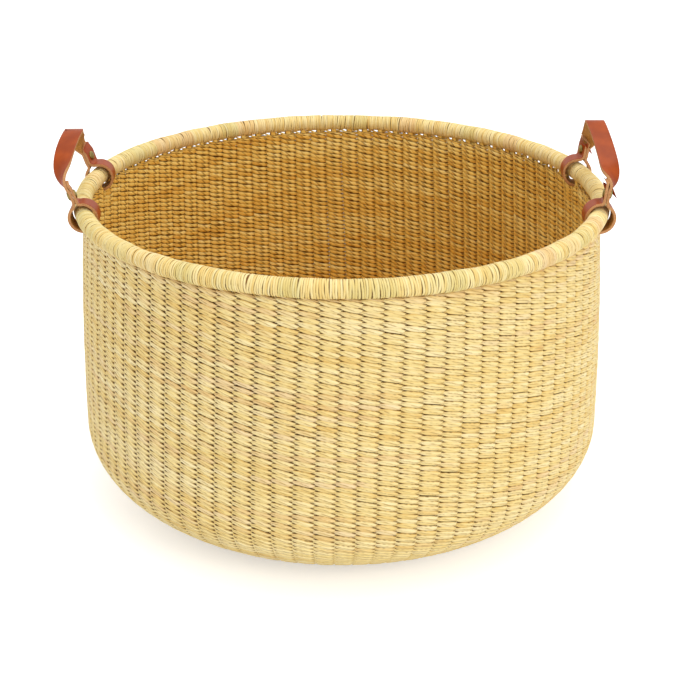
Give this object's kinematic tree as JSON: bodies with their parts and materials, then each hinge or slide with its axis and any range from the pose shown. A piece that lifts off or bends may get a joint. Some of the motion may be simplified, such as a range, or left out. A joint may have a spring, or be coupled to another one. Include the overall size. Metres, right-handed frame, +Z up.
{
  "type": "round woven floor basket with leather handles",
  "caption": "Large round twined-grass basket with a softly bulged wall, a thick wrapped rim and leather strap handles riveted round the rim.",
  "frame": {"origin": "on the floor under the middle of the basket", "axes": "+Z up, +X towards the right handle as the picture shows it, +Y away from the camera"},
  "size_m": [0.5765, 0.5656, 0.4105],
  "materials": {
    "woven_straw": "twined elephant grass, matt with a faint silky sheen along each strand",
    "bundled_straw": "loose grass laid side by side",
    "wrapping_straw": "split grass wound tight, pale, with dark lines between turns",
    "leather": "vegetable-tanned cowhide, waxed smooth grain side, raw tan edges",
    "antique_brass": "antiqued, dull, slightly worn on the crown"
  },
  "bodies": {
    "basket": {"base_weave": "woven_straw", "wall_weave": "woven_straw", "rim_core": "bundled_straw", "rim_wrap": "wrapping_straw"},
    "left_handle": {"left_handle_strap": "leather", "left_near_rivet_post": "antique_brass", "left_near_rivet_cap": "antique_brass", "left_far_rivet_post": "antique_brass", "left_far_rivet_cap": "antique_brass"},
    "right_handle": {"right_handle_strap": "leather", "right_near_rivet_post": "antique_brass", "right_near_rivet_cap": "antique_brass", "right_far_rivet_post": "antique_brass", "right_far_rivet_cap": "antique_brass"}
  },
  "joints": [
    {"name": "left_handle_tip", "type": "hinge", "parent": "basket", "child": "left_handle", "pos_m": [-0.26212, -0.00936, 0.3327], "axis": [0.0357, -0.9994, 0], "range_deg": [-145, 118]},
    {"name": "right_handle_tip", "type": "hinge", "parent": "basket", "child": "right_handle", "pos_m": [0.25973, 0, 0.3327], "axis": [0, 1, 0], "range_deg": [-139, 129]}
  ]
}
